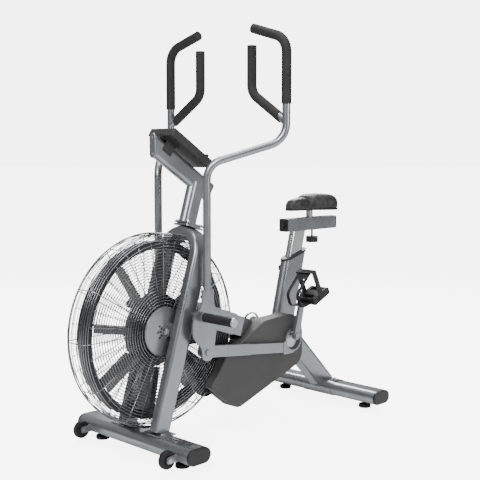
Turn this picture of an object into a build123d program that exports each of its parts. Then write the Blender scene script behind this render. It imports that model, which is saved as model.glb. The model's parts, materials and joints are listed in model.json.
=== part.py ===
"""Air bike: a fan-braked exercise bike with moving handle levers, as an assembly of separate sub-parts.

Frame: millimetres, +X towards the rear of the bike, -Y the rider's left, +Z up. The rider faces -X.
The origin lies on the floor under the centre of the bike's box.
"""
import os
from math import atan, cos, degrees, radians, sin, sqrt

from build123d import *

os.makedirs("parts", exist_ok=True)

# ---------------------------------------------------------------- driving dimensions
FAN_X, FAN_Y, FAN_Z = -300.5, -3.0, 391.0      # centre of the fan
CAGE_R, CAGE_HALF, WIRE_R = 310.0, 48.0, 1.6   # wire cage: outer ring, half depth, wire
RIM_R, RIM_HALF = 284.0, 20.0                  # the fan's hoop
HUB_PLATE_R = 79.0                             # round plate in the middle of each cage side
CRANK_X, CRANK_Z = 261.5, 305.0                # crank axis
CRANK_LENGTH, CRANK_LEAN = 152.0, 14.0         # the left crank stands up, leaning rearwards
ECCENTRIC = 16.0                               # throw of the push rods' eccentrics
JACK_X, JACK_Z = -20.0, 160.0                  # jackshaft between the two belts
PIVOT_X, PIVOT_Z = -193.0, 431.0               # pivot of the handle levers
ROD_BOLT_X, ROD_BOLT_Z = -178.5, 314.0         # lower end of each lever
STAB_Z, STAB_W, STAB_H = 50.0, 93.0, 50.0      # floor stabilisers: flat-oval tubes
STAB_HALF, CAP = 280.0, 10.0                   # half their length, and the end caps' share of it
FRONT_X, REAR_X = -358.5, 565.5                # their centre lines
FOOT_Y = 200.0                                 # levelling feet
LEG_X, LEG_Z, LEG_Y = -348.5, 78.5, 79.5       # foot of each fork leg, on its centre line
LEG_W, LEG_T, LEG_BEND = 64.0, 35.0, 78.0      # leg tube: wide fore and aft, thin across
TUBE_WALL = 2.5                                # wall of the legs, the boom and the handle tubes
LEG_LENGTH = 645.0                             # along the leg, foot to arch centre line
LEAN = degrees(atan(0.3163))                   # legs and mast lean rearwards
BEAM_X, BEAM_Z, BEAM_H = -75.0, 401.0, 66.0    # a point on the main beam's axis, and its height
BEAM_SLOPE = 19.0                              # it falls towards the rear
SEAT_X, SEAT_Z, SEAT_LEAN = 329.5, 380.0, 14.3   # a point on the seat tube's axis, and its lean
SEAT_W, SEAT_T = 106.0, 40.0                   # seat tube section
TOP_SLOPE = 16.0                               # its top is cut aslant, rising rearwards
POST_W, POST_T = 74.0, 26.0                    # seat post section
GUARD_OUT, GUARD_MID, GUARD_IN = -92.0, -57.5, -36.0   # faces of the belt guard, across the bike
SKIN = 2.5                                     # moulded cover thickness
TUBE_R, BRANCH_R, GRIP_R = 13.0, 12.0, 16.0     # handle tube, its inner branch, and foam grip
LEVER_Y, HANDLE_Y, INNER_Y = 119.0, 278.0, 124.0   # planes of the handle tubes
HANDLE_X = 23.5                                # upper handles, fore and aft
RAIL_X0, RAIL_X1, RAIL_Z0, RAIL_Z1 = 328.5, 606.0, 667.0, 714.0   # saddle rail
SADDLE_X0, SADDLE_X1, SADDLE_Z = 345.0, 577.0, 742.0   # saddle, nose to tail, and its underside
CARRIAGE_X = 477.0                             # saddle clamp on the rail
GAP, RUN = 0.3, 0.05                           # sliding clearance; radial clearance of a shaft
SIDES = {"left": -1, "right": 1}
NODES = {}


# ---------------------------------------------------------------- shape helpers
def box(x0, x1, y0, y1, z0, z1):
    return Pos((x0 + x1) / 2, (y0 + y1) / 2, (z0 + z1) / 2) * Box(x1 - x0, abs(y1 - y0), z1 - z0)


def rod_y(x, z, radius, y0, y1):
    """Cylinder along Y."""
    return Pos(x, (y0 + y1) / 2, z) * Rot(90, 0, 0) * Cylinder(radius, abs(y1 - y0))


def rod_z(x, y, radius, z0, z1):
    return Pos(x, y, (z0 + z1) / 2) * Cylinder(radius, z1 - z0)


def rod_x(y, z, radius, x0, x1):
    return Pos((x0 + x1) / 2, y, z) * Rot(0, 90, 0) * Cylinder(radius, x1 - x0)


def ring_y(x, z, outer, inner, y0, y1):
    lo, hi = min(y0, y1), max(y0, y1)
    return rod_y(x, z, outer, lo, hi) - rod_y(x, z, inner, lo - 1, hi + 1)


def slab(sketch, y0, y1):
    """A sketch drawn in X and Z, thickened from y0 to y1."""
    return extrude(Plane.XZ.offset(-max(y0, y1)) * sketch, amount=abs(y1 - y0), dir=(0, -1, 0))


def outline(points, radii):
    """A closed polygon with one fillet radius for each corner, as a face."""
    face = Polygon(*points, align=None)
    for point, radius in zip(points, radii):
        if radius:
            face = fillet(face.vertices().sort_by_distance((point[0], point[1], 0))[0], radius)
    return face


def hex_y(x, z, across, y0, y1):
    return slab(Pos(x, z) * RegularPolygon(across / sqrt(3), 6), y0, y1)


def hex_z(x, y, across, z0, z1):
    return Pos(x, y, z0) * extrude(RegularPolygon(across / sqrt(3), 6), amount=z1 - z0)


def bent_tube(points, bends, radius, inner=0.0):
    """A round tube along straight runs joined by tangent bends."""
    path = FilletPolyline(*points, radius=bends) if bends else Line(*points)
    start = Plane(origin=path @ 0, z_dir=path % 0)
    tube = sweep(start * Circle(radius), path=path)
    if inner:
        tube -= sweep(start * Circle(inner), path=path)
    return tube


def move(point, angle, distance):
    """A point moved in the XZ plane by a distance, at an angle above +X."""
    return point[0] + distance * cos(radians(angle)), point[1] + distance * sin(radians(angle))


def inclined(point, angle):
    """A plane across the bike's length at a point in XZ: its normal rises at that angle above +X."""
    tilt = radians(angle)
    return Plane(origin=(point[0], 0, point[1]), x_dir=(sin(tilt), 0, -cos(tilt)),
                 z_dir=(cos(tilt), 0, sin(tilt)))


def inclined_tube(start, end, wide, across, wall=0.0):
    """A flat-oval tube between two points in XZ, on the bike's mid plane."""
    angle = degrees(atan((end[1] - start[1]) / (end[0] - start[0])))
    length = sqrt((end[0] - start[0]) ** 2 + (end[1] - start[1]) ** 2)
    section = SlotOverall(wide, across)
    if wall:
        section -= SlotOverall(wide - 2 * wall, across - 2 * wall)
    return extrude(inclined(start, angle) * section, amount=length)


def belt(centre_a, radius_a, centre_b, radius_b, thickness, y0, y1):
    """A closed belt round two pulleys, standing just clear of them."""
    def loop(grow):
        circles = [Pos(*centre_a) * Circle(radius_a + grow), Pos(*centre_b) * Circle(radius_b + grow)]
        return make_hull([e for c in circles for e in c.edges()])
    return slab(loop(GAP + thickness) - loop(GAP), y0, y1)


def pulley(x, z, radius, bore, y0, y1):
    """A belt pulley; a large one has a recessed web with round holes."""
    body = ring_y(x, z, radius, bore, y0, y1)
    if radius > 35:
        body -= ring_y(x, z, radius - 6, bore + 9, y0, y0 + 3)
        middle, hole_r = (radius + bore) / 2 + 2, (radius - bore) / 5
        for k in range(6):
            body -= rod_y(*move((x, z), 60 * k + 30, middle), hole_r, y0 - 1, y1 + 1)
    return body


def add(name, *shapes):
    NODES[name] = [solid for shape in shapes for solid in shape.solids()]


def add_pair(name, *shapes):
    """Shapes on the rider's left, and their mirror image on the right."""
    add(f"{name}_left", *shapes)
    add(f"{name}_right", *[mirror(shape, about=Plane.XZ) for shape in shapes])


# ---------------------------------------------------------------- floor stabilisers and feet
def stabiliser(x):
    section = SlotOverall(STAB_W, STAB_H) - SlotOverall(STAB_W - 5, STAB_H - 5)
    tube = slab(Pos(x, STAB_Z) * section, -STAB_HALF + CAP, STAB_HALF - CAP)
    for side in SIDES.values():
        tube -= rod_z(x, side * FOOT_Y, 5.5, 20, 40)
    return tube


def end_cap(x, side):
    head = slab(Pos(x, STAB_Z) * SlotOverall(STAB_W, STAB_H), side * (STAB_HALF - CAP), side * STAB_HALF)
    head = fillet(head.faces().sort_by(Axis.Y)[-1 if side > 0 else 0].edges(), 4)
    plug = SlotOverall(STAB_W - 5, STAB_H - 5)
    return head + slab(Pos(x, STAB_Z) * plug, side * (STAB_HALF - CAP - 14), side * (STAB_HALF - CAP))


def foot(x, y):
    pad = fillet(rod_z(x, y, 23, 0, 13).edges(), 2.5)
    return pad + hex_z(x, y, 17, 13, 18) + rod_z(x, y, 5, 18, 44)


add("front_stabiliser", stabiliser(FRONT_X))
add("rear_stabiliser", stabiliser(REAR_X))
add("stabiliser_caps", *[end_cap(x, side) for x in (FRONT_X, REAR_X) for side in SIDES.values()])
for end, x in (("front", FRONT_X), ("rear", REAR_X)):
    for name, side in SIDES.items():
        add(f"{end}_{name}_foot", foot(x, side * FOOT_Y))

# ---------------------------------------------------------------- transport wheels
WHEEL_X, WHEEL_Y, WHEEL_Z, WHEEL_R, WHEEL_HALF = -434.5, 215.0, 44.0, 28.5, 9.0
brackets, frame_bolts = [], []
for name, side in SIDES.items():
    inner, outer = side * (WHEEL_Y - WHEEL_HALF), side * (WHEEL_Y + WHEEL_HALF)
    tyre = rod_y(WHEEL_X, WHEEL_Z, WHEEL_R, inner, outer)
    tyre = fillet(tyre.edges().filter_by(GeomType.CIRCLE), 4) - rod_y(WHEEL_X, WHEEL_Z, 17, -400, 400)
    hub = ring_y(WHEEL_X, WHEEL_Z, 17, 4 + RUN, inner + side * 1, outer - side * 1)
    hub -= ring_y(WHEEL_X, WHEEL_Z, 14, 8, outer - side * 3, outer)
    add(f"wheel_{name}", tyre, hub)
    for face, away in ((inner, -side), (outer, side)):
        cheek = outline([(WHEEL_X - 10, WHEEL_Z - 10), (WHEEL_X + 60, WHEEL_Z - 10), (WHEEL_X + 60, WHEEL_Z + 18),
                         (WHEEL_X - 10, WHEEL_Z + 10)], [8, 0, 0, 8])
        cheek = slab(cheek, face + away * 0.4, face + away * 4.4) - rod_y(WHEEL_X, WHEEL_Z, 4, -400, 400)
        cheek -= slab(Pos(FRONT_X, STAB_Z) * SlotOverall(STAB_W, STAB_H), -400, 400)
        brackets.append(max(cheek.solids(), key=lambda solid: -solid.center().X))
    bolt = rod_y(WHEEL_X, WHEEL_Z, 4, inner - side * 4.4, outer + side * 4.4)
    frame_bolts.append(bolt + rod_y(WHEEL_X, WHEEL_Z, 7, outer + side * 4.4, outer + side * 7.4))
add("wheel_brackets", *brackets)

# ---------------------------------------------------------------- fork legs, base plates and head
LEG_ROUND = 10.0


def leg(side, hollow):
    """One fork leg: up from the base plate, then round into half of the arch."""
    rise = Plane(origin=(LEG_X, 0, LEG_Z), x_dir=(0, 1, 0), z_dir=(cos(radians(LEAN)), 0, -sin(radians(LEAN))))
    path = Wire([e for e in (rise * FilletPolyline((side * LEG_Y, 0), (side * LEG_Y, LEG_LENGTH), (0, LEG_LENGTH),
                                                   radius=LEG_BEND)).edges()])
    start = Plane(origin=path @ 0, x_dir=rise.z_dir, z_dir=path % 0)
    section = RectangleRounded(LEG_W, LEG_T, LEG_ROUND)
    if hollow:
        section -= RectangleRounded(LEG_W - 2 * TUBE_WALL, LEG_T - 2 * TUBE_WALL, LEG_ROUND - TUBE_WALL)
    return sweep(start * section, path=path)


def lean_point(distance, forward=0.0):
    """A point at a distance up the leg line from its foot, in XZ, moved forward across the line."""
    angle = 90 - LEAN
    return move(move((LEG_X, LEG_Z), angle, distance), angle + 90, forward)


BOSS_R, PIN_R = 19.0, 10.0
base_cut = box(-700, 0, -300, 300, 0, LEG_Z)
boss_space = rod_y(PIVOT_X, PIVOT_Z, BOSS_R, -120, 120)
legs = {name: leg(side, False) for name, side in SIDES.items()}
base_plates = []
for name, side in SIDES.items():
    beyond_middle = box(-400, 100, 0, -side * 40, 600, 800)
    add(f"fork_leg_{name}", leg(side, True) - base_cut - boss_space - beyond_middle)
    base_plates.append(box(FRONT_X - 21, FRONT_X + 42, side * 60, side * 126, LEG_Z - 3.5, LEG_Z))
    frame_bolts.append(hex_z(FRONT_X - 2, side * 113, 13, LEG_Z, LEG_Z + 6))

HEAD_S = LEG_LENGTH + LEG_T / 2                # top of the arch, along the lean line
FLANGE_T, FLANGE_GAP, FLANGE_L, FLANGE_W = 5.0, 4.0, 76.0, 72.0
MAST_SHIFT = 8.0                               # the mast stands this much ahead of the leg line


def head_plate(start, length, width, thickness):
    """A rounded plate square to the lean line, a distance up it."""
    return extrude(inclined(lean_point(start), 90 - LEAN) * RectangleRounded(length, width, 8), amount=thickness)


lower_flange = head_plate(HEAD_S, FLANGE_L, FLANGE_W, FLANGE_T)
upper_flange = head_plate(HEAD_S + FLANGE_T + FLANGE_GAP, FLANGE_L, FLANGE_W, FLANGE_T)
spacer = head_plate(HEAD_S + FLANGE_T, FLANGE_L - 14, FLANGE_W - 14, FLANGE_GAP)
add("head_flanges", lower_flange, spacer, *base_plates)
mast_s = HEAD_S + 2 * FLANGE_T + FLANGE_GAP
for dx in (-29, 29):
    for dy in (-27, 27):
        plane = inclined(lean_point(mast_s, dx), 90 - LEAN)
        frame_bolts.append(extrude(plane * Pos(0, dy) * RegularPolygon(6, 6), amount=5))

BOOM_FRONT, BOOM_END = (-294.0, 978.0), (-56.1, 823.9)
BOOM_H, BOOM_T = 65.0, 30.0
boom_angle = degrees(atan((BOOM_END[1] - BOOM_FRONT[1]) / (BOOM_END[0] - BOOM_FRONT[0])))
boom_start = move(BOOM_FRONT, boom_angle, -30)
ahead_of_boom = box(-500, BOOM_FRONT[0], -100, 100, 800, 1200)
boom_solid = inclined_tube(boom_start, BOOM_END, BOOM_H, BOOM_T) - ahead_of_boom
boom = inclined_tube(boom_start, BOOM_END, BOOM_H, BOOM_T, TUBE_WALL) - ahead_of_boom
mast_low = lean_point(mast_s, MAST_SHIFT)
mast_high = lean_point(HEAD_S + 151, MAST_SHIFT)
mast = inclined_tube(mast_low, mast_high, LEG_W, 38, 3.0) - boom_solid
add("mast", upper_flange, max(mast.solids(), key=lambda solid: -solid.center().Z))
end_plate = extrude(Plane.YZ.offset(BOOM_FRONT[0] - 6) * Pos(0, BOOM_FRONT[1]) * SlotOverall(79, 28, rotation=90),
                    amount=6)
add("console_boom", boom, fillet(end_plate.faces().sort_by(Axis.X)[0].edges(), 2))
frame_bolts += [rod_x(0, BOOM_FRONT[1] + dz, 3.5, BOOM_FRONT[0] - 8, BOOM_FRONT[0] - 6) for dz in (-26, 26)]

# ---------------------------------------------------------------- console
tilt = radians(boom_angle)
boom_frame = Plane(origin=(BOOM_FRONT[0], 0, BOOM_FRONT[1]), x_dir=(cos(tilt), 0, sin(tilt)),
                   z_dir=(-sin(tilt), 0, cos(tilt)))
CONSOLE_S0, CONSOLE_S1, CONSOLE_N0, CONSOLE_N1, CONSOLE_HALF = 4.0, 197.0, 41.5, 69.5, 60.0
SCREEN_S0, SCREEN_S1, SCREEN_HALF = 18.0, 104.0, 46.0
BUTTON_S, BUTTON_STEP, BUTTON_HALF = 128.0, 26.0, 7.0


def boom_box(s0, s1, half, n0, n1, y=0.0):
    """A box in the boom's frame: s along it, n above its axis."""
    return boom_frame * box(s0, s1, y - half, y + half, n0, n1)


case = fillet(boom_box(CONSOLE_S0, CONSOLE_S1, CONSOLE_HALF, CONSOLE_N0, CONSOLE_N1).edges(), 4)
case += boom_box(152, 184, 44, CONSOLE_N1 - 2, CONSOLE_N1 + 14) \
    - boom_box(150, 178, 50, CONSOLE_N1, CONSOLE_N1 + 20)
case -= boom_box(SCREEN_S0, SCREEN_S1, SCREEN_HALF, CONSOLE_N1 - 3, CONSOLE_N1 + 1)
for k in (-1, 0, 1):
    case -= boom_box(BUTTON_S - BUTTON_HALF - GAP, BUTTON_S + BUTTON_HALF + GAP, BUTTON_HALF + GAP,
                     CONSOLE_N1 - 8, CONSOLE_N1 + 1, k * BUTTON_STEP)
    add(f"console_button_{k + 2}", boom_box(BUTTON_S - BUTTON_HALF, BUTTON_S + BUTTON_HALF, BUTTON_HALF,
                                            CONSOLE_N1 - 6, CONSOLE_N1 + 1.5, k * BUTTON_STEP))
bracket = boom_box(20, 72, 30, CONSOLE_N0 - 4, CONSOLE_N0) \
    + boom_box(26, 66, BOOM_T / 2 + 3.5, 2, CONSOLE_N0 - 4)
bracket -= boom_box(0, 200, BOOM_T / 2, -40, CONSOLE_N0 - 4)
add("console_case", case, bracket)
add("console_screen", boom_box(SCREEN_S0, SCREEN_S1, SCREEN_HALF, CONSOLE_N1 - 3, CONSOLE_N1 - 1))

# ---------------------------------------------------------------- main beam, yoke and bottom bracket
def beam_slab(sketch, height):
    """A plan outline in the beam's frame, thickened across the beam's axis."""
    return extrude(beam_frame.offset(-height / 2) * sketch, amount=height)


beam_angle = -BEAM_SLOPE
beam_frame = Plane(origin=(BEAM_X, 0, BEAM_Z), x_dir=(cos(radians(BEAM_SLOPE)), 0, -sin(radians(BEAM_SLOPE))),
                   z_dir=(sin(radians(BEAM_SLOPE)), 0, cos(radians(BEAM_SLOPE))))
ARM_IN, ARM_OUT, SLEEVE_OUT = 60.0, 75.0, 80.0
SLOT_END, TAPER_START, TAPER_END, BEAM_HALF = 109.0, 114.0, 206.0, 32.0
yoke = beam_slab(Polygon((-170, -ARM_OUT), (TAPER_START, -ARM_OUT), (TAPER_END, -BEAM_HALF), (TAPER_END, BEAM_HALF),
                         (TAPER_START, ARM_OUT), (-170, ARM_OUT), (-170, ARM_IN), (SLOT_END, ARM_IN),
                         (SLOT_END, -ARM_IN), (-170, -ARM_IN), align=None), BEAM_H)
ahead = Plane(origin=(LEG_X, 0, LEG_Z), x_dir=(0, 1, 0), z_dir=(-cos(radians(LEAN)), 0, sin(radians(LEAN))))
front_cut = extrude(ahead * Rectangle(400, 2400), amount=400) + boss_space
yoke = yoke - front_cut - legs["left"] - legs["right"]
yoke_parts = list(yoke.solids())
for name, side in SIDES.items():
    sleeve = beam_slab(Pos(-50, side * (ARM_OUT + SLEEVE_OUT) / 2) * Rectangle(240, SLEEVE_OUT - ARM_OUT),
                       BEAM_H + 6)
    sleeve = sleeve - front_cut - legs[name]
    yoke_parts.append(max(sleeve.solids(), key=lambda solid: solid.volume))

BB_R, BB_HALF, AXLE_R = 24.0, 38.0, 8.5
shell = rod_y(CRANK_X, CRANK_Z, BB_R, -BB_HALF, BB_HALF)
seat_up = 90 - SEAT_LEAN
seat_low = move((SEAT_X, SEAT_Z), seat_up, -134)
seat_top = move((SEAT_X, SEAT_Z), seat_up, 201)
top_slope = radians(TOP_SLOPE)
top_plane = Plane(origin=(seat_top[0], 0, seat_top[1]), x_dir=(cos(top_slope), 0, sin(top_slope)),
                  z_dir=(-sin(top_slope), 0, cos(top_slope)))
above_top = top_plane * box(-150, 150, -100, 100, 0, 200)
seat_outer = inclined_tube(seat_low, move(seat_top, seat_up, 50), SEAT_W, SEAT_T) - above_top
beam_section = Rectangle(BEAM_H, 2 * BEAM_HALF) - Rectangle(BEAM_H - 6, 2 * BEAM_HALF - 6)
beam = extrude(inclined(move((BEAM_X, BEAM_Z), beam_angle, TAPER_END), beam_angle) * beam_section, amount=170)
beam = max((beam - shell - seat_outer).solids(), key=lambda solid: solid.volume)
add("main_beam", *yoke_parts, beam)
bearings = [ring_y(CRANK_X, CRANK_Z, 18, AXLE_R + RUN, side * (BB_HALF - 10), side * BB_HALF)
            for side in SIDES.values()]
add("bottom_bracket", shell - rod_y(CRANK_X, CRANK_Z, 18, -50, 50), *bearings)

# ---------------------------------------------------------------- seat tube and rear strut
pin_point = move((SEAT_X, SEAT_Z), seat_up, 150)
PULL_PIN_R = 5.0
seat_hollow = inclined_tube(move(seat_low, seat_up, -1), move(seat_top, seat_up, 60), SEAT_W - 8, SEAT_T - 8)
seat_tube = seat_outer - seat_hollow - shell - rod_y(*pin_point, PULL_PIN_R + GAP, 0, 60)
pin_collar = ring_y(*pin_point, 11, PULL_PIN_R + RUN, SEAT_T / 2, SEAT_T / 2 + 11)
add("seat_tube", seat_tube, pin_collar)
post_hole = SlotOverall(POST_W + 2 * GAP, POST_T + 2 * GAP)
bush_plane = inclined(move(seat_top, seat_up, -42), seat_up)
bush = extrude(bush_plane * (SlotOverall(SEAT_W - 8, SEAT_T - 8) - post_hole), amount=120) - above_top
collar = extrude(bush_plane * (SlotOverall(SEAT_W + 4, SEAT_T + 4) - post_hole), amount=120)
collar &= top_plane * box(-150, 150, -100, 100, 0, 8)
add("seat_tube_bushing", bush + collar)

SLEEVE_HALF, SLEEVE_T = 70.0, 2.0
sleeve_section = SlotOverall(STAB_W + 2 * SLEEVE_T, STAB_H + 2 * SLEEVE_T)
sleeve_solid = slab(Pos(REAR_X, STAB_Z) * sleeve_section, -SLEEVE_HALF, SLEEVE_HALF)
rear_sleeve = sleeve_solid - slab(Pos(REAR_X, STAB_Z) * SlotOverall(STAB_W, STAB_H), -100, 100)
strut = inclined_tube((300.0, 322.5), (600.0, 22.5), 92, 40) - seat_outer - sleeve_solid - shell
strut = strut - box(0, 700, -100, 100, 0, 64) - box(600, 700, -100, 100, 0, 200)
add("rear_strut", max(strut.solids(), key=lambda solid: solid.volume), rear_sleeve)
SLEEVE_TOP = STAB_Z + STAB_H / 2 + SLEEVE_T
frame_bolts.append(box(REAR_X - 9, REAR_X + 9, -66, -42, SLEEVE_TOP, SLEEVE_TOP + 4)
                   + rod_z(REAR_X, -54, 5.5, SLEEVE_TOP + 4, SLEEVE_TOP + 10))

# ---------------------------------------------------------------- seat post, rail and saddle
post_bottom = move((SEAT_X, SEAT_Z), seat_up, 42)
post_top = move((SEAT_X, SEAT_Z), seat_up, 330)
post = inclined_tube(post_bottom, post_top, POST_W, POST_T, 2.5) - box(0, 900, -100, 100, RAIL_Z0, 900)
slot = extrude(inclined(move(pin_point, seat_up, -112), seat_up)
               * Rectangle(2 * PULL_PIN_R + 0.6, 60), amount=204)
post -= slot & box(0, 900, 4, 60, 300, RAIL_Z0)
add("seat_post", post)
WALL, KNOB_X = 3.0, CARRIAGE_X + 10
rail = slab(outline([(RAIL_X0, RAIL_Z0), (RAIL_X1, RAIL_Z0), (RAIL_X1, RAIL_Z1), (RAIL_X0, RAIL_Z1)],
                    [4] * 4), -20, 20)
rail -= box(RAIL_X0 - 1, RAIL_X1 + 1, -20 + WALL, 20 - WALL, RAIL_Z0 + WALL, RAIL_Z1 - WALL)
rail -= box(CARRIAGE_X - 39, CARRIAGE_X + 84, -14, 14, RAIL_Z1 - 5, RAIL_Z1 + 1)
rail -= box(KNOB_X - 25, KNOB_X + 75, -5, 5, RAIL_Z0 - 1, RAIL_Z0 + 5)
add("saddle_rail", rail)
caps = []
for x0, x1, inward in ((RAIL_X0 - 5, RAIL_X0, 1), (RAIL_X1, RAIL_X1 + 4, -1)):
    plate = fillet(box(x0, x1, -20.5, 20.5, RAIL_Z0 - 0.5, RAIL_Z1 + 0.5).edges().filter_by(Axis.X), 5)
    root = x1 if inward > 0 else x0
    plug_x = sorted((root, root + inward * 8))
    caps.append(plate + box(plug_x[0], plug_x[1], -20 + WALL, 20 - WALL, RAIL_Z0 + WALL, RAIL_Z1 - WALL))
stop_knob = fillet(rod_x(0, 688, 9, RAIL_X0 - 15, RAIL_X0 - 5).edges(), 1.5)
add("rail_fittings", *caps, stop_knob)
carriage = box(CARRIAGE_X - 38, CARRIAGE_X + 38, -20 + WALL + GAP, 20 - WALL - GAP,
               RAIL_Z0 + WALL + GAP, RAIL_Z1 - WALL - GAP)
carriage += rod_z(CARRIAGE_X - 6, 0, 13, RAIL_Z1 - 6, SADDLE_Z)
carriage -= rod_z(KNOB_X, 0, 4 + RUN, RAIL_Z0 - 5, RAIL_Z0 + 26)
add("saddle_carriage", carriage)
knob = rod_z(KNOB_X, 0, 23, 618, 641)
for k in range(6):
    knob -= rod_z(KNOB_X + 27 * cos(radians(60 * k)), 27 * sin(radians(60 * k)), 7, 610, 650)
knob = fillet(knob.faces().sort_by(Axis.Z)[0].edges() + knob.faces().sort_by(Axis.Z)[-1].edges(), 1.5)
add("saddle_clamp_knob", knob + rod_z(KNOB_X, 0, 4, 641, RAIL_Z0 + 20))


def saddle_outline(inset):
    """The saddle's plan: a narrow nose that widens to the tail, drawn in from its full size."""
    length = SADDLE_X1 - SADDLE_X0 - 2 * inset
    stations = [(0.0, 17), (0.08, 25), (0.36, 31), (0.58, 64), (0.78, 82), (0.93, 72), (1.0, 44)]
    near = [(SADDLE_X0 + inset + t * length, -w + inset) for t, w in stations]
    far = [(x, -y) for x, y in reversed(near)]
    return make_face([Spline(*near), Line(near[-1], far[0]), Spline(*far), Line(far[-1], near[0])])


NOSE_TOP, TAIL_TOP, CREASE_X = 790.0, 803.0, 433.0
pad = extrude(Pos(0, 0, SADDLE_Z + 6) * saddle_outline(0), amount=NOSE_TOP - SADDLE_Z - 6)
tail = extrude(Pos(0, 0, NOSE_TOP) * saddle_outline(4), amount=TAIL_TOP - NOSE_TOP)
tail &= box(CREASE_X, SADDLE_X1, -200, 200, NOSE_TOP, TAIL_TOP)
add("saddle_pan", extrude(Pos(0, 0, SADDLE_Z) * saddle_outline(4), amount=6))
add("saddle_pad", pad + tail)
pull = fillet(rod_y(*pin_point, 12, SEAT_T / 2 + 12, SEAT_T / 2 + 34).edges(), 2)
add("seat_pull_pin", pull + rod_y(*pin_point, PULL_PIN_R, 8, SEAT_T / 2 + 12))

# ---------------------------------------------------------------- lever pivots and foot pegs
PEG_R, PEG_START, PEG_END = 15.0, 128.5, 255.0
pins, pegs = [], []
for side in SIDES.values():
    pins.append(ring_y(PIVOT_X, PIVOT_Z, BOSS_R, PIN_R, side * ARM_IN, side * 111))
    cap_end = rod_y(PIVOT_X, PIVOT_Z, PEG_R, side * PEG_END, side * (PEG_END + 7))
    cap_end = fillet(cap_end.faces().sort_by(Axis.Y)[-1 if side > 0 else 0].edges(), 3)
    pins.append(cap_end + rod_y(PIVOT_X, PIVOT_Z, PIN_R, side * ARM_IN, side * PEG_END))
    pegs.append(ring_y(PIVOT_X, PIVOT_Z, PEG_R, PIN_R, side * PEG_START, side * PEG_END))
add("pivot_pins", *pins)
add("foot_pegs", *pegs)


# ---------------------------------------------------------------- handle levers
GRIP_START_Z, PLATE_IN, PLATE_OUT, HUB_R = 1111.0, 119.0, 125.0, 16.0
HUB_IN, HUB_OUT, ROD_BOLT_R = 111.5, 128.0, 5.0
HANDLE_BENDS, BRANCH_BENDS = [65, 70, 60], [50]
HANDLE_ROUTE = [(-175.5, -LEVER_Y, 488), (-175.5, -LEVER_Y, 918), (HANDLE_X, -HANDLE_Y, 996),
                (HANDLE_X, -HANDLE_Y, 1316), (HANDLE_X + 1, -135, 1359)]
BRANCH_ROUTE = [(HANDLE_X, -HANDLE_Y, 1052), (HANDLE_X + 2, -INNER_Y, 1151), (HANDLE_X + 2, -INNER_Y, 1302)]
PLATE_OUTLINE = [
    (-201, 520), (-152, 520), (-150, 470), (-128, 408), (-140.5, 379), (-152.5, 312),
    (-154, 287), (-203, 287), (-203, 330), (-243, 372), (-243, 430), (-203, 470),
]
PLATE_RADII = [5, 5, 45, 25, 20, 8, 22, 22, 45, 42, 42, 45]
tube = bent_tube(HANDLE_ROUTE, HANDLE_BENDS, TUBE_R)
hollow_tube = bent_tube(HANDLE_ROUTE, HANDLE_BENDS, TUBE_R, TUBE_R - TUBE_WALL)
branch = bent_tube(BRANCH_ROUTE, BRANCH_BENDS, BRANCH_R, BRANCH_R - TUBE_WALL) - tube
add_pair("lever_tube", hollow_tube, max(branch.solids(), key=lambda solid: solid.volume))

grip = bent_tube(HANDLE_ROUTE, HANDLE_BENDS, GRIP_R, TUBE_R) & box(-200, 200, -60, -330, GRIP_START_Z, 1500)
grip_end = Plane(origin=HANDLE_ROUTE[-1], z_dir=Vector(*HANDLE_ROUTE[-1]) - Vector(*HANDLE_ROUTE[-2]))
branch_grip = bent_tube(BRANCH_ROUTE, BRANCH_BENDS, GRIP_R, BRANCH_R) & box(-200, 200, -60, -250, 1040, 1400)
grips = [max(part.solids(), key=lambda solid: solid.volume) for part in (grip, branch_grip)]
add_pair("handle_grips", grips[0] + extrude(grip_end * Circle(GRIP_R), amount=4),
         grips[1] + rod_z(HANDLE_X + 2, -INNER_Y, GRIP_R, 1302, 1306))

plate = slab(outline(PLATE_OUTLINE, PLATE_RADII), -PLATE_IN, -PLATE_OUT)
plate = plate - rod_y(PIVOT_X, PIVOT_Z, HUB_R, -200, 0) - tube \
    - rod_y(ROD_BOLT_X, ROD_BOLT_Z, ROD_BOLT_R, -200, 0)
hub = ring_y(PIVOT_X, PIVOT_Z, HUB_R, PIN_R + RUN, -HUB_IN, -HUB_OUT)
pin = rod_y(ROD_BOLT_X, ROD_BOLT_Z, ROD_BOLT_R, -94, -PLATE_OUT - 1)
head = fillet(rod_y(ROD_BOLT_X, ROD_BOLT_Z, 10, -PLATE_OUT, -PLATE_OUT - 6).edges(), 1.5)
bush = ring_y(ROD_BOLT_X, ROD_BOLT_Z, 10, ROD_BOLT_R, -110.3, -PLATE_IN)
add_pair("lever_plate", max(plate.solids(), key=lambda solid: solid.volume), hub, pin + head, bush)

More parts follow.
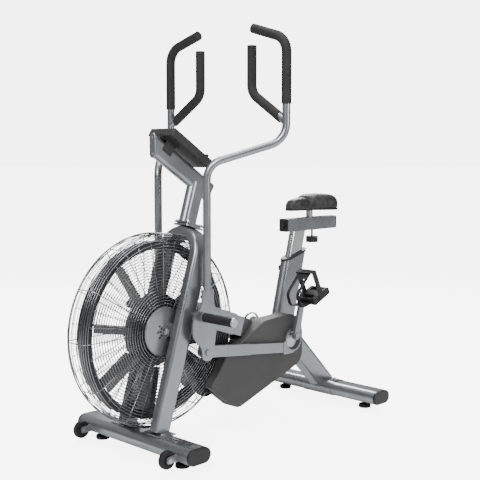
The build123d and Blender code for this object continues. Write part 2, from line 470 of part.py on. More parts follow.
# ---------------------------------------------------------------- push rods, eccentrics and cranks
ROD_IN, ROD_OUT, ROD_STEP = 95.0, 110.0, 218.0
RING_IN, RING_OUT, DISC_R = 36.5, 42.0, 28.0
discs = []
for name, side in SIDES.items():
    ring_z = CRANK_Z + side * ECCENTRIC
    front, rear = (ROD_BOLT_X, ROD_BOLT_Z), (CRANK_X - 21.5, ring_z - 25)
    length = sqrt((rear[0] - front[0]) ** 2 + (rear[1] - front[1]) ** 2)
    angle = degrees(atan((rear[1] - front[1]) / (rear[0] - front[0])))
    front_half = Pos(*move(front, angle, ROD_STEP / 2)) * Rot(0, 0, angle) * Rectangle(ROD_STEP, 38) \
        + Pos(*front) * Circle(19)
    rear_half = Pos(*move(front, angle, (180 + length) / 2)) * Rot(0, 0, angle) \
        * RectangleRounded(length - 180, 35, 4)
    tongue = slab(rear_half, side * (ROD_IN + 2), side * (ROD_OUT - 2))
    channel = slab(front_half, side * ROD_IN, side * ROD_OUT) - tongue
    channel -= rod_y(*front, ROD_BOLT_R + RUN, -200, 200)
    ring_space = rod_y(CRANK_X, ring_z, RING_OUT, -200, 200)
    lug = outline([(CRANK_X - 56, ring_z - 46), (CRANK_X - 4, ring_z - 46), (CRANK_X + 10, ring_z - 34),
                   (CRANK_X - 30, ring_z + 6), (CRANK_X - 56, ring_z - 2)], [8, 10, 0, 0, 12])
    lug = slab(lug, side * (ROD_OUT - 2), side * (ROD_OUT - 0.5)) - ring_space
    ring = ring_y(CRANK_X, ring_z, RING_OUT, RING_IN, side * 100.5, side * 108)
    add(f"push_rod_{name}", channel, tongue - ring_space, lug, ring)
    discs.append(rod_y(CRANK_X, ring_z, DISC_R, side * 93, side * 96.5)
                 - rod_y(CRANK_X, CRANK_Z, AXLE_R, -200, 200))

ARM_Y0, ARM_Y1, SPINDLE_R = 112.0, 124.0, 8.0
PEDAL_IN, PEDAL_OUT, PEDAL_NOSE = 130.0, 205.0, -25.0
PEDAL_L, PEDAL_T = 90.0, 25.0


def pedal_slab(toe, side, sketch, y0, y1):
    """A sketch in the pedal's own frame, thickened between two distances from the mid plane."""
    return Pos(toe[0], 0, toe[1]) * Rot(0, PEDAL_NOSE, 0) * slab(sketch, side * y0, side * y1)


axle_spacer = ring_y(CRANK_X, CRANK_Z, 13, AXLE_R, 40, 93)
add("crank_axle", rod_y(CRANK_X, CRANK_Z, AXLE_R, -ARM_Y1, ARM_Y1), axle_spacer, *discs)
add("crank_pulley", pulley(CRANK_X, CRANK_Z, 58, AXLE_R, -84, -66))
for name, side in SIDES.items():
    up = 90 - CRANK_LEAN + 90 * (1 + side)
    toe = move((CRANK_X, CRANK_Z), up, CRANK_LENGTH)
    arm = slab(make_hull([e for c in (Pos(CRANK_X, CRANK_Z) * Circle(15), Pos(*toe) * Circle(10))
                          for e in c.edges()]),
               side * ARM_Y0, side * ARM_Y1)
    arm -= rod_y(CRANK_X, CRANK_Z, AXLE_R, -200, 200)
    cap = fillet(rod_y(CRANK_X, CRANK_Z, 11, side * ARM_Y1, side * (ARM_Y1 + 4)).edges(), 1)
    spindle = rod_y(*toe, SPINDLE_R, side * ARM_Y1, side * (PEDAL_OUT - 3))
    add(f"crank_arm_{name}", arm, cap, spindle)
    body = pedal_slab(toe, side, RectangleRounded(PEDAL_L, PEDAL_T, 7), PEDAL_IN, PEDAL_OUT)
    for x0 in (-1, 1):
        body -= pedal_slab(toe, side, Pos(x0 * 25, 0) * Rectangle(18, 40), PEDAL_IN + 14, PEDAL_OUT - 14)
    body -= rod_y(*toe, SPINDLE_R + RUN, side * (PEDAL_IN - 5), side * (PEDAL_OUT - 2.5))
    spine = FilletPolyline((-44, -2), (-100, 8), (-96, 62), (-5, 98), radius=24)
    clip_face = trace(spine, line_width=3)
    clip = pedal_slab(toe, side, clip_face, PEDAL_IN + 8, PEDAL_OUT - 12)
    clip -= pedal_slab(toe, side, Pos(-70, 50) * Rectangle(90, 76), PEDAL_IN + 19, PEDAL_OUT - 23)
    clip -= body
    strap = pedal_slab(toe, side, Pos(-3, 101) * Rectangle(22, 2), PEDAL_IN + 2, PEDAL_OUT + 2)
    strap += pedal_slab(toe, side, Pos(-3, 47) * Rectangle(22, 110), PEDAL_OUT, PEDAL_OUT + 2)
    strap += pedal_slab(toe, side, Pos(-3, 57) * Rectangle(22, 89), PEDAL_IN + 2, PEDAL_IN + 4)
    add(f"pedal_{name}", body, max(clip.solids(), key=lambda solid: solid.volume), strap - body)

# ---------------------------------------------------------------- fan rotor
FAN_AXLE_R, PADDLES, PADDLE_START = 8.5, 8, 79.0
HUB_DISC_R, PADDLE_ROOT, RIM_IN = 120.0, 116.0, 261.0
hoop_y0, hoop_y1 = FAN_Y - RIM_HALF, FAN_Y + RIM_HALF
hoop = ring_y(FAN_X, FAN_Z, RIM_R, RIM_R - 3, hoop_y0, hoop_y1)
for y0, y1 in ((hoop_y0, hoop_y0 + 2.5), (hoop_y1 - 2.5, hoop_y1)):
    hoop += ring_y(FAN_X, FAN_Z, RIM_R, RIM_IN, y0, y1)
add("fan_hoop", hoop)
disc = ring_y(FAN_X, FAN_Z, HUB_DISC_R, FAN_AXLE_R, FAN_Y - 3, FAN_Y + 3)
disc += ring_y(FAN_X, FAN_Z, 30, FAN_AXLE_R, FAN_Y - 25, FAN_Y + 25)
paddles = []
for k in range(PADDLES):
    angle = PADDLE_START + 360 / PADDLES * k
    blade = box(PADDLE_ROOT, RIM_IN + 2, FAN_Y - 29, FAN_Y + 29, -1.25, 1.25)
    blade += box(PADDLE_ROOT, RIM_IN + 2, FAN_Y - 29, FAN_Y - 26.5, -1.25, 22)
    blade = Pos(FAN_X, 0, FAN_Z) * Rot(0, -angle, 0) * blade
    blade &= rod_y(FAN_X, FAN_Z, RIM_IN, -60, 60)
    paddles += list((blade - disc).solids())
fan_pulley = pulley(FAN_X, FAN_Z, 20, FAN_AXLE_R, 50.8, 59.2)
add("fan_rotor", disc, *paddles, fan_pulley)
nut = hex_y(FAN_X, FAN_Z, 19, -64, -57) - rod_y(FAN_X, FAN_Z, FAN_AXLE_R, -70, -50)
add("fan_axle", rod_y(FAN_X, FAN_Z, FAN_AXLE_R, -67, 60), nut)

# ---------------------------------------------------------------- wire cage round the fan
NEAR_Y, FAR_Y, SHOULDER_R = -CAGE_HALF + FAN_Y, CAGE_HALF + FAN_Y, 288.0
FACE_RINGS, SPOKES = (110, 140, 170, 200, 230, 260, SHOULDER_R), 24


def cage_face(y):
    """One side of the cage: rings joined by straight radial wires, all in one plane."""
    face = Sketch() + [Circle(r + WIRE_R) - Circle(r - WIRE_R) for r in FACE_RINGS]
    middle, length = (HUB_PLATE_R + SHOULDER_R) / 2, SHOULDER_R - HUB_PLATE_R
    face += [Rot(0, 0, 360 / SPOKES * k) * Pos(middle, 0) * Rectangle(length, 2 * WIRE_R) for k in range(SPOKES)]
    return slab(Pos(FAN_X, FAN_Z) * (face - Circle(HUB_PLATE_R)), y - WIRE_R, y + WIRE_R)


barrel = []
for k in range(SPOKES):
    path = FilletPolyline((SHOULDER_R, NEAR_Y, 0), (CAGE_R, NEAR_Y + 20, 0), (CAGE_R, FAR_Y - 20, 0),
                          (SHOULDER_R, FAR_Y, 0), radius=8)
    wire = sweep(Plane(origin=path @ 0, z_dir=path % 0) * Circle(WIRE_R), path=path)
    barrel.append(Pos(FAN_X, 0, FAN_Z) * Rot(0, -360 / SPOKES * k, 0) * wire)
near_face, far_face = cage_face(NEAR_Y), cage_face(FAR_Y)
barrel_parts = [wire - near_face - far_face for wire in barrel]
barrel_wires = [max(wire.solids(), key=lambda solid: solid.volume) for wire in barrel_parts]
add("fan_cage", near_face, far_face, *barrel_wires)

PLATE_T, BEARING_R = 2 * WIRE_R, 17.0
hub_parts = []
for y, inward in ((NEAR_Y, 1), (FAR_Y, -1)):
    plate = ring_y(FAN_X, FAN_Z, HUB_PLATE_R, BEARING_R, y - PLATE_T / 2, y + PLATE_T / 2)
    bearing = ring_y(FAN_X, FAN_Z, BEARING_R, FAN_AXLE_R + RUN, y - PLATE_T / 2, y + PLATE_T / 2)
    hub_parts += [plate, bearing]
near_lug = box(FAN_X + 24, FAN_X + 74, NEAR_Y - PLATE_T / 2, -LEG_Y + 14, FAN_Z - 24, FAN_Z + 24)
far_lug = box(FAN_X + 20, FAN_X + 74, FAR_Y + PLATE_T / 2, LEG_Y - 14, FAN_Z + 26, FAN_Z + 50)
for lug, name in ((near_lug, "left"), (far_lug, "right")):
    lug -= legs[name]
    for part in yoke_parts:
        lug -= part
    hub_parts.append(max(lug.solids(), key=lambda solid: solid.volume))
add("cage_hub_plates", *hub_parts)

# ---------------------------------------------------------------- belt guard
GUARD = [(-74, 270), (128, 374), (328, 384), (328, 200), (-8, 86), (-132, 184)]
GUARD_RADII = [6, 100, 75, 55, 45, 8]
AXLE_HOLE, CAGE_CLEAR = 14.0, 322.0


def guard_outline(inset):
    """The belt guard's side view, hollowed in front to follow the cage."""
    face = outline(GUARD, GUARD_RADII) - Pos(FAN_X, FAN_Z) * Circle(262)
    return offset(face, amount=-inset) if inset else face


beyond_cage = Pos(FAN_X, FAN_Z) * Circle(CAGE_CLEAR)
shell_out = slab(guard_outline(0), GUARD_OUT, GUARD_MID)
shell_out = fillet(shell_out.faces().sort_by(Axis.Y)[0].edges(), 3)
hollow_out = slab(guard_outline(SKIN), GUARD_OUT + SKIN, GUARD_MID - SKIN)
shell_in = slab(guard_outline(0) - beyond_cage, GUARD_MID, GUARD_IN)
join = slab(guard_outline(SKIN) - Pos(FAN_X, FAN_Z) * Circle(CAGE_CLEAR + SKIN),
            GUARD_MID - SKIN, GUARD_IN + SKIN)
guard = shell_out + shell_in - hollow_out - join
guard -= rod_y(CRANK_X, CRANK_Z, AXLE_HOLE, -100, -60) + rod_y(CRANK_X, CRANK_Z, BB_R + 2, -45, -30)
guard -= rod_y(JACK_X, JACK_Z, AXLE_HOLE, -45, -30)
for part in yoke_parts:
    guard -= part
add("belt_guard", max(guard.solids(), key=lambda solid: solid.volume))

# ---------------------------------------------------------------- belt drive to the fan
JACK_R, JACK_SMALL_R, JACK_LARGE_R, FAN_PULLEY_R, BELT_T = 7.5, 18.0, 46.0, 20.0, 2.5
add("jackshaft", rod_y(JACK_X, JACK_Z, JACK_R, -84, 60), ring_y(JACK_X, JACK_Z, JACK_SMALL_R, JACK_R, -84, -66),
    pulley(JACK_X, JACK_Z, JACK_LARGE_R, JACK_R, 50.8, 59.2))
hanger = [(30, 345), (72, 335), (6, 150), (-30, 142), (-37, 170)]
bearing_hanger = []
for side in SIDES.values():
    plate = slab(outline(hanger, [0, 0, 14, 14, 14]), side * 24, side * 30)
    plate -= rod_y(JACK_X, JACK_Z, JACK_R + RUN, -100, 100)
    for part in yoke_parts + [beam]:
        plate -= part
    bearing_hanger.append(min(plate.solids(), key=lambda solid: solid.center().Z))
add("jackshaft_hanger", *bearing_hanger)
crank_belt = belt((CRANK_X, CRANK_Z), 58, (JACK_X, JACK_Z), JACK_SMALL_R, BELT_T, -82, -68)
fan_belt = belt((FAN_X, FAN_Z), FAN_PULLEY_R, (JACK_X, JACK_Z), JACK_LARGE_R, BELT_T, 52, 58)
add("belts", crank_belt, fan_belt)

COVER_IN, COVER_OUT = 48.9, 61.7


def cover_outline(grow):
    """A hull round the fan belt, wider than it by the given amount."""
    circles = [Pos(FAN_X, FAN_Z) * Circle(FAN_PULLEY_R + grow), Pos(JACK_X, JACK_Z) * Circle(JACK_LARGE_R + grow)]
    return make_hull([e for c in circles for e in c.edges()])


cover = slab(cover_outline(8), COVER_IN, COVER_OUT) - slab(cover_outline(6.2), COVER_IN - 1, COVER_OUT - 1.4)
add("fan_belt_cover", cover)

add("frame_bolts", *frame_bolts)

# ---------------------------------------------------------------- one STEP file for each named sub-part
for name, solids in NODES.items():
    export_step(Compound(children=solids) if len(solids) > 1 else solids[0], f"parts/{name}.step")
print(len(NODES), "sub-parts")
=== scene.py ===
"""Looks of an air bike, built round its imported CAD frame. Metres, +X to the rear, -Y the rider's left, +Z up."""

import json
import math

import bpy
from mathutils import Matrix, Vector


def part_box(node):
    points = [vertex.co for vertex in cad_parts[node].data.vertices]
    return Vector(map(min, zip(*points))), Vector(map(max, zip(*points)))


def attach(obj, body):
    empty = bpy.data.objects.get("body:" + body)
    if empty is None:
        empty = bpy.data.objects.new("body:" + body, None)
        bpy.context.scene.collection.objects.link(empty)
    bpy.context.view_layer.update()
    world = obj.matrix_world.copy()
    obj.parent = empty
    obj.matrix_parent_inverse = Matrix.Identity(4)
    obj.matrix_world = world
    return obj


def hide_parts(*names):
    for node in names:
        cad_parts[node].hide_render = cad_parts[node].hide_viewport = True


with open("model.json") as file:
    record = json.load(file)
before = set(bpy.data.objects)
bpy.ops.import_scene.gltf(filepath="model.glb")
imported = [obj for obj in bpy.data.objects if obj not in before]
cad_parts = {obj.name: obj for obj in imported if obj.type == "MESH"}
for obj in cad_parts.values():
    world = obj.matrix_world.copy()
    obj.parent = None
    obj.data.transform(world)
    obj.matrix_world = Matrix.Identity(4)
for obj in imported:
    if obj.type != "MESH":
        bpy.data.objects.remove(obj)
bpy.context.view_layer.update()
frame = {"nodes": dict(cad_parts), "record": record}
NODES = frame["nodes"]


# ---------------------------------------------------------------- camera, light and floor
CAMERA_AT = Vector((-2.1485, -2.202, 0.952))
LOOK = Vector((0.7106, 0.6971, -0.0950))
camera_data = bpy.data.cameras.new("camera")
camera_data.sensor_width = 36.0
camera_data.lens = 67.7
camera = bpy.data.objects.new("camera", camera_data)
camera.location = CAMERA_AT
camera.rotation_euler = LOOK.to_track_quat("-Z", "Y").to_euler()
bpy.context.scene.collection.objects.link(camera)
bpy.context.scene.camera = camera


def area_light(name, place, target, size, watts, colour=(1.0, 1.0, 1.0)):
    """A soft square lamp aimed at a point."""
    lamp = bpy.data.lights.new(name, "AREA")
    lamp.shape = "SQUARE"
    lamp.size = size
    lamp.energy = watts
    lamp.color = colour
    lamp_object = bpy.data.objects.new(name, lamp)
    lamp_object.location = place
    lamp_object.rotation_euler = (Vector(target) - Vector(place)).to_track_quat("-Z", "Y").to_euler()
    bpy.context.scene.collection.objects.link(lamp_object)


MIDDLE = (0.0, 0.0, 0.7)
area_light("key", (-2.6, -1.2, 2.6), MIDDLE, 1.4, 115)
area_light("fill", (0.6, -3.2, 1.6), MIDDLE, 1.5, 52)
area_light("rim", (2.2, 2.2, 2.4), MIDDLE, 1.4, 95)
area_light("top", (0.0, 0.0, 3.4), MIDDLE, 1.8, 80)

SEEN_WORLD, SEEN_FLOOR = 7.0, 5.6


def studio_world():
    """A dim room for the light and reflections, dark at eye level, that the camera sees as pale paper."""
    world = bpy.data.worlds.new("studio")
    world.use_nodes = True
    nodes, links = world.node_tree.nodes, world.node_tree.links
    room = nodes["Background"]
    where = nodes.new("ShaderNodeTexCoord")
    parts = nodes.new("ShaderNodeSeparateXYZ")
    links.new(where.outputs["Generated"], parts.inputs["Vector"])
    height = nodes.new("ShaderNodeMapRange")
    height.inputs["From Min"].default_value = -1.0
    links.new(parts.outputs["Z"], height.inputs["Value"])
    ramp = nodes.new("ShaderNodeValToRGB")
    for place, level in ((0.0, 0.30), (0.46, 0.16), (0.62, 0.30), (1.0, 1.0)):
        stop = ramp.color_ramp.elements.new(place) if 0 < place < 1 else ramp.color_ramp.elements[-1 if place else 0]
        stop.color = (level, level, level, 1.0)
    links.new(height.outputs["Result"], ramp.inputs["Fac"])
    links.new(ramp.outputs["Color"], room.inputs["Color"])
    room.inputs["Strength"].default_value = 0.8
    paper = nodes.new("ShaderNodeBackground")
    paper.inputs["Strength"].default_value = SEEN_WORLD
    seen = nodes.new("ShaderNodeLightPath")
    mix = nodes.new("ShaderNodeMixShader")
    links.new(seen.outputs["Is Camera Ray"], mix.inputs["Fac"])
    links.new(room.outputs["Background"], mix.inputs[1])
    links.new(paper.outputs["Background"], mix.inputs[2])
    links.new(mix.outputs["Shader"], nodes["World Output"].inputs["Surface"])
    return world


bpy.context.scene.world = studio_world()


# ---------------------------------------------------------------- procedural materials
def surface(name, colours, mottle, rough, grain, depth, metallic=0.0, pattern="noise", coat=0.0, fleck=None,
            gloss_level=0.5):
    """A material whose colour and roughness vary softly and whose grain is a fine bump.

    colours are the two ends of the mottling, mottle and grain are texture scales per metre,
    rough the range of roughness, depth the bump's height in metres. fleck adds fine sparkle.
    """
    material = bpy.data.materials.new(name)
    material.use_nodes = True
    nodes, links = material.node_tree.nodes, material.node_tree.links
    shader = nodes["Principled BSDF"]
    shader.inputs["Metallic"].default_value = metallic
    shader.inputs["Coat Weight"].default_value = coat
    shader.inputs["Coat Roughness"].default_value = 0.2
    shader.inputs["Specular IOR Level"].default_value = gloss_level
    where = nodes.new("ShaderNodeTexCoord")

    cloud = nodes.new("ShaderNodeTexNoise")
    cloud.inputs["Scale"].default_value = mottle
    cloud.inputs["Detail"].default_value = 5.0
    links.new(where.outputs["Object"], cloud.inputs["Vector"])
    ramp = nodes.new("ShaderNodeValToRGB")
    ramp.color_ramp.elements[0].position = 0.3
    ramp.color_ramp.elements[1].position = 0.7
    ramp.color_ramp.elements[0].color = (*colours[0], 1.0)
    ramp.color_ramp.elements[1].color = (*colours[1], 1.0)
    links.new(cloud.outputs["Fac"], ramp.inputs["Fac"])
    tint = ramp.outputs["Color"]

    texture = nodes.new("ShaderNodeTexNoise" if pattern == "noise" else "ShaderNodeTexVoronoi")
    texture.inputs["Scale"].default_value = grain
    links.new(where.outputs["Object"], texture.inputs["Vector"])
    height = texture.outputs["Fac" if pattern == "noise" else "Distance"]

    if fleck:
        sparkle = nodes.new("ShaderNodeMix")
        sparkle.data_type = "RGBA"
        sparkle.blend_type = "OVERLAY"
        sparkle.inputs["Factor"].default_value = fleck
        links.new(tint, sparkle.inputs["A"])
        links.new(height, sparkle.inputs["B"])
        tint = sparkle.outputs["Result"]
    links.new(tint, shader.inputs["Base Color"])

    gloss = nodes.new("ShaderNodeMapRange")
    gloss.inputs["To Min"].default_value = rough[0]
    gloss.inputs["To Max"].default_value = rough[1]
    links.new(cloud.outputs["Fac"], gloss.inputs["Value"])
    links.new(gloss.outputs["Result"], shader.inputs["Roughness"])

    bump = nodes.new("ShaderNodeBump")
    bump.inputs["Strength"].default_value = 0.6
    bump.inputs["Distance"].default_value = depth
    links.new(height, bump.inputs["Height"])
    links.new(bump.outputs["Normal"], shader.inputs["Normal"])
    return material


PAINT = surface("satin grey paint", ((0.22, 0.236, 0.25), (0.275, 0.292, 0.306)), 9, (0.24, 0.33), 1400, 0.00004,
                metallic=0.85, coat=0.2, fleck=0.3)
DARK_PAINT = surface("black powder coat", ((0.012, 0.012, 0.014), (0.02, 0.02, 0.022)), 12, (0.42, 0.54), 900, 0.00012,
                     metallic=0.1, gloss_level=0.35)
CHROME = surface("chrome", ((0.72, 0.73, 0.75), (0.8, 0.81, 0.82)), 20, (0.06, 0.12), 300, 0.00001, metallic=1.0)
WIRE = surface("plated wire", ((0.16, 0.17, 0.18), (0.24, 0.25, 0.26)), 25, (0.16, 0.26), 500, 0.00002, metallic=0.95)
BOLT = surface("zinc steel", ((0.42, 0.42, 0.43), (0.54, 0.54, 0.55)), 60, (0.22, 0.34), 800, 0.00004, metallic=1.0)
BLADE = surface("satin sheet", ((0.075, 0.077, 0.078), (0.11, 0.112, 0.113)), 8, (0.34, 0.46), 700, 0.00005,
                metallic=0.6)
HOOP = surface("dark hoop", ((0.016, 0.017, 0.018), (0.028, 0.029, 0.03)), 10, (0.36, 0.5), 700, 0.00008,
               metallic=0.4)
GUARD = surface("moulded charcoal", ((0.040, 0.040, 0.040), (0.054, 0.054, 0.054)), 7, (0.5, 0.62), 1100, 0.0002,
                gloss_level=0.3)
CONSOLE = surface("console plastic", ((0.018, 0.018, 0.019), (0.026, 0.026, 0.027)), 9, (0.48, 0.6), 1100, 0.0002,
                  gloss_level=0.3)
PLASTIC = surface("moulded black", ((0.006, 0.006, 0.007), (0.012, 0.012, 0.013)), 15, (0.38, 0.52), 1000, 0.00015,
                  gloss_level=0.35)
RUBBER = surface("black rubber", ((0.006, 0.006, 0.007), (0.012, 0.012, 0.013)), 30, (0.6, 0.75), 600, 0.0003,
                 gloss_level=0.3)
FOAM = surface("foam grip", ((0.010, 0.010, 0.011), (0.018, 0.018, 0.019)), 25, (0.62, 0.8), 1300, 0.0004,
               pattern="voronoi", gloss_level=0.3)
VINYL = surface("saddle vinyl", ((0.010, 0.010, 0.011), (0.017, 0.017, 0.018)), 14, (0.4, 0.54), 700, 0.0004,
                pattern="voronoi", gloss_level=0.4)
LIGHT = surface("light grey plastic", ((0.38, 0.385, 0.39), (0.46, 0.465, 0.47)), 20, (0.35, 0.48), 900, 0.0001)
SCREEN = surface("screen window", ((0.02, 0.026, 0.026), (0.028, 0.034, 0.034)), 12, (0.08, 0.14), 200, 0.00001,
                 coat=0.6)
CAST = surface("painted casting", ((0.09, 0.092, 0.095), (0.13, 0.133, 0.136)), 20, (0.4, 0.55), 500, 0.0003,
               metallic=0.4)


def paper_floor():
    """The pale floor, lit for the camera as studio paper is."""
    material = surface("pale floor", ((0.86, 0.86, 0.86), (0.9, 0.9, 0.9)), 2, (0.75, 0.9), 200, 0.0001)
    nodes, links = material.node_tree.nodes, material.node_tree.links
    seen = nodes.new("ShaderNodeLightPath")
    level = nodes.new("ShaderNodeMath")
    level.operation = "MULTIPLY"
    level.inputs[1].default_value = SEEN_FLOOR
    links.new(seen.outputs["Is Camera Ray"], level.inputs[0])
    shader = nodes["Principled BSDF"]
    shader.inputs["Emission Color"].default_value = (1.0, 1.0, 1.0, 1.0)
    links.new(level.outputs["Value"], shader.inputs["Emission Strength"])
    return material


FINISHES = {
    "frame_grey": PAINT, "dark_steel": DARK_PAINT, "bolt_steel": BOLT, "chrome": CHROME, "blade_metal": BLADE,
    "black_plastic": PLASTIC, "charcoal_plastic": GUARD, "black_rubber": RUBBER, "foam": FOAM,
    "light_plastic": LIGHT, "screen": SCREEN, "saddle_vinyl": VINYL, "cast_grey": CAST,
}
SLOTS = {row["node"]: row["material_slot"] for row in frame["record"]["subparts"]}
OWN_FINISH = {"fan_hoop": HOOP, "cage_hub_plates": PAINT, "console_case": CONSOLE, "push_rod_left": PAINT,
              "push_rod_right": PAINT}


def paint(thing, material):
    """Gives an object one material on all of its slots."""
    if not thing.material_slots:
        thing.data.materials.append(material)
    for place in thing.material_slots:
        place.material = material


for node, thing in NODES.items():
    paint(thing, OWN_FINISH.get(node, FINISHES[SLOTS[node]]))

floor_mesh = bpy.data.meshes.new("floor")
REACH = 60.0
corners = [(-REACH, -REACH, 0), (REACH, -REACH, 0), (REACH, REACH, 0), (-REACH, REACH, 0)]
floor_mesh.from_pydata(corners, [], [(0, 1, 2, 3)])
floor = bpy.data.objects.new("floor", floor_mesh)
bpy.context.scene.collection.objects.link(floor)
paint(floor, paper_floor())


# ---------------------------------------------------------------- mesh helpers
class Sheet:
    """Collects vertices and faces of one piece."""

    def __init__(self):
        self.points, self.faces = [], []

    def rows(self, rows, around=True, closed=False):
        """Quads between rows of points; around joins each row's ends, closed joins the last row to the first."""
        start, wide = len(self.points), len(rows[0])
        for row in rows:
            self.points += [tuple(point) for point in row]
        last = len(rows) if closed else len(rows) - 1
        for i in range(last):
            a, b = start + i * wide, start + (i + 1) % len(rows) * wide
            for j in range(wide if around else wide - 1):
                k = (j + 1) % wide
                self.faces.append((a + j, a + k, b + k, b + j))
        if around and not closed:
            self.faces.append(tuple(range(start + wide - 1, start - 1, -1)))
            end = start + (len(rows) - 1) * wide
            self.faces.append(tuple(range(end, end + wide)))

    def wire(self, path, radius, closed=False, sides=8):
        """A round wire along a path of points."""
        path = [Vector(point) for point in path]
        rows, side = [], None
        for i, point in enumerate(path):
            before = path[i - 1] if i or closed else point
            after = path[(i + 1) % len(path)] if i + 1 < len(path) or closed else point
            along = (after - before).normalized()
            if side is None:
                side = along.orthogonal().normalized()
            side = (side - along * side.dot(along)).normalized()
            up = along.cross(side)
            turns = [2 * math.pi * k / sides for k in range(sides)]
            rows.append([point + radius * (math.cos(t) * side + math.sin(t) * up) for t in turns])
        self.rows(rows, closed=closed)

    def piece(self, name, material, body, smooth=True):
        """Makes the object, shades it and lets it ride on a body."""
        mesh = bpy.data.meshes.new(name)
        mesh.from_pydata(self.points, [], self.faces)
        mesh.validate()
        mesh.update()
        mesh.polygons.foreach_set("use_smooth", [smooth] * len(mesh.polygons))
        thing = bpy.data.objects.new(name, mesh)
        bpy.context.scene.collection.objects.link(thing)
        paint(thing, material)
        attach(thing, body)
        return thing


# ---------------------------------------------------------------- the fan's wire cage
cage_low, cage_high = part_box("fan_cage")
WIRE_R = 0.0016
FAN_X = (cage_low[0] + cage_high[0]) / 2
FAN_Z = (cage_low[2] + cage_high[2]) / 2
CAGE_R = (cage_high[0] - cage_low[0]) / 2 - WIRE_R
NEAR_Y, FAR_Y = cage_low[1] + WIRE_R, cage_high[1] - WIRE_R
HUB_R, RING_STEP, SHOULDER = 0.079, 0.0096, 0.022


def round_fan(radius, y, angle):
    return Vector((FAN_X + radius * math.cos(angle), y, FAN_Z + radius * math.sin(angle)))


def cage_ring(sheet, radius, y, wire=WIRE_R, steps=96):
    sheet.wire([round_fan(radius, y, 2 * math.pi * k / steps) for k in range(steps)], wire, closed=True, sides=6)


FACE_WIRE, SHOULDER_WIRE = WIRE_R * 0.78, WIRE_R * 0.95
SPOKES, LONG_EVERY, BEND_STEPS = 36, 3, 6
cage = Sheet()
flat_r = CAGE_R - SHOULDER
for y in (NEAR_Y, FAR_Y):
    radius = HUB_R + RING_STEP
    while radius <= flat_r + 0.001:
        cage_ring(cage, radius, y, FACE_WIRE)
        radius += RING_STEP
for y_from, inward in ((NEAR_Y, 1), (FAR_Y, -1)):
    for part in (0.2, 0.4, 0.6, 0.8, 1.0):
        turn = part * math.pi / 2
        radius = flat_r + SHOULDER * math.sin(turn)
        cage_ring(cage, radius, y_from + inward * SHOULDER * (1 - math.cos(turn)), SHOULDER_WIRE, 120)
for y in (NEAR_Y + 0.034, FAR_Y - 0.034):
    cage_ring(cage, CAGE_R, y, SHOULDER_WIRE, 120)
for k in range(SPOKES):
    angle = 2 * math.pi * k / SPOKES
    if k % LONG_EVERY:
        for y, inward in ((NEAR_Y, 1), (FAR_Y, -1)):
            behind = y + inward * FACE_WIRE
            cage.wire([round_fan(HUB_R - 0.002, behind, angle), round_fan(flat_r, behind, angle)], FACE_WIRE, sides=6)
        continue
    bends = [math.pi / 2 * i / BEND_STEPS for i in range(BEND_STEPS + 1)]
    path = [round_fan(HUB_R - 0.002, NEAR_Y, angle)]
    path += [round_fan(flat_r + SHOULDER * math.sin(t), NEAR_Y + SHOULDER * (1 - math.cos(t)), angle) for t in bends]
    path += [round_fan(flat_r + SHOULDER * math.sin(t), FAR_Y - SHOULDER * (1 - math.cos(t)), angle)
             for t in reversed(bends)]
    path.append(round_fan(HUB_R - 0.002, FAR_Y, angle))
    cage.wire(path, WIRE_R, sides=6)
cage_piece = cage.piece("wire_cage", WIRE, "frame")
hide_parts("fan_cage")


# ---------------------------------------------------------------- saddle
pad_low, pad_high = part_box("saddle_pad")
PAD_LENGTH = pad_high[0] - pad_low[0]
PAD_HALF = (pad_high[1] - pad_low[1]) / 2
NOSE_TOP, CREASE_AT = 0.790, 0.40
PLAN = ((0.0, 0.0), (0.03, 0.19), (0.08, 0.30), (0.2, 0.38), (0.36, 0.43), (0.5, 0.68), (0.62, 0.87), (0.78, 0.98),
        (0.9, 0.86), (0.96, 0.62), (1.0, 0.0))


def between(table, t):
    """Smooth interpolation in a short table of (place, value)."""
    for (a, va), (b, vb) in zip(table, table[1:]):
        if t <= b:
            s = (t - a) / (b - a)
            return va + (vb - va) * (s * s * (3 - 2 * s))
    return table[-1][1]


def saddle_top(t):
    """Height of the saddle's crown: a nose lobe, a crease, and a higher rear lobe."""
    rear, nose = pad_high[2] - 0.001, NOSE_TOP
    if t < CREASE_AT:
        crown = nose - 0.014 * (1 - t / CREASE_AT) ** 2
    else:
        crown = nose + (rear - nose) * math.sin(math.pi / 2 * min(1.0, (t - CREASE_AT) / 0.16))
        crown -= 0.010 * max(0.0, (t - 0.78) / 0.22) ** 2
    return crown - 0.009 * math.exp(-((t - CREASE_AT) / 0.018) ** 2)


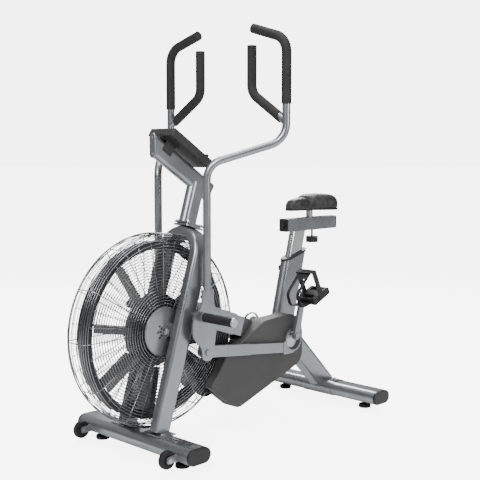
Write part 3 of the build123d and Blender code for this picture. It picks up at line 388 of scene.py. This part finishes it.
def saddle_pad():
    """The padded saddle: superellipse sections along its length, with a welt above the pan."""
    sheet, rows = Sheet(), []
    stations = [0.5 - 0.5 * math.cos(math.pi * i / 90) for i in range(91)]
    bottom = pad_low[2]
    for t in stations:
        half = max(0.0006, PAD_HALF * between(PLAN, t)) * (1.0 if 0 < t < 1 else 0.3)
        end = min(1.0, (math.sin(math.pi * t) / 0.30)) ** 0.5 if 0 < t < 1 else 0.0
        rise = max(0.004, (saddle_top(t) - bottom) * max(0.12, end))
        row = []
        for k in range(48):
            turn = math.pi * k / 40 if k <= 40 else math.pi * (1 + (k - 40) / 8)
            if k <= 40:
                y = half * math.copysign(abs(math.cos(turn)) ** 0.55, math.cos(turn))
                z = bottom + rise * math.sin(turn) ** 0.62
                welt = math.exp(-((z - bottom - 0.010) / 0.0022) ** 2)
                y *= 1 - 0.025 * welt
            else:
                y = -half + 2 * half * (k - 40) / 8
                z = bottom
            row.append((pad_low[0] + t * PAD_LENGTH, y, z))
        rows.append(row)
    sheet.rows(rows)
    return sheet


pad = saddle_pad().piece("saddle", VINYL, "saddle")
smooth = pad.modifiers.new("smooth", "SUBSURF")
smooth.levels = smooth.render_levels = 1
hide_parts("saddle_pad")

# ---------------------------------------------------------------- hub details on both sides of the cage
def plate(sheet, outline, y0, y1):
    """A flat plate with an outline in X and Z, between two places across the bike."""
    sheet.rows([[Vector((x, y, z)) for x, z in outline] for y in (y0, y1)])


SLOT_FROM, SLOT_TO, SLOT_HALF, SLOT_TURN = 0.013, 0.030, 0.003, 0.75
BEAD_R, NUT_BEAD_R = 0.0011, 0.0215
for side, face in ((-1, NEAR_Y - WIRE_R), (1, FAR_Y + WIRE_R)):
    # Each slot is a thin black plate on the hub face: painted shade standing in for the dark inside of a slot opening.
    slots = Sheet()
    for turn in (-1, 0, 1):
        reach = [(-SLOT_FROM, -SLOT_HALF), (-SLOT_TO, -SLOT_HALF), (-SLOT_TO, SLOT_HALF), (-SLOT_FROM, SLOT_HALF)]
        c, d = math.cos(turn * SLOT_TURN), math.sin(turn * SLOT_TURN)
        shape = [(FAN_X + x * c - z * d, FAN_Z + x * d + z * c) for x, z in reach]
        plate(slots, shape, face, face + side * 0.0006)
    slots.piece(f"hub_slot_shade_{side}", PLASTIC, "frame", smooth=False)
    bead = Sheet()
    cage_ring(bead, HUB_R - 0.0035, face + side * 0.0004, BEAD_R, 90)
    cage_ring(bead, NUT_BEAD_R, face + side * 0.0004, BEAD_R, 48)
    bead.piece(f"hub_beads_{side}", PAINT, "frame")
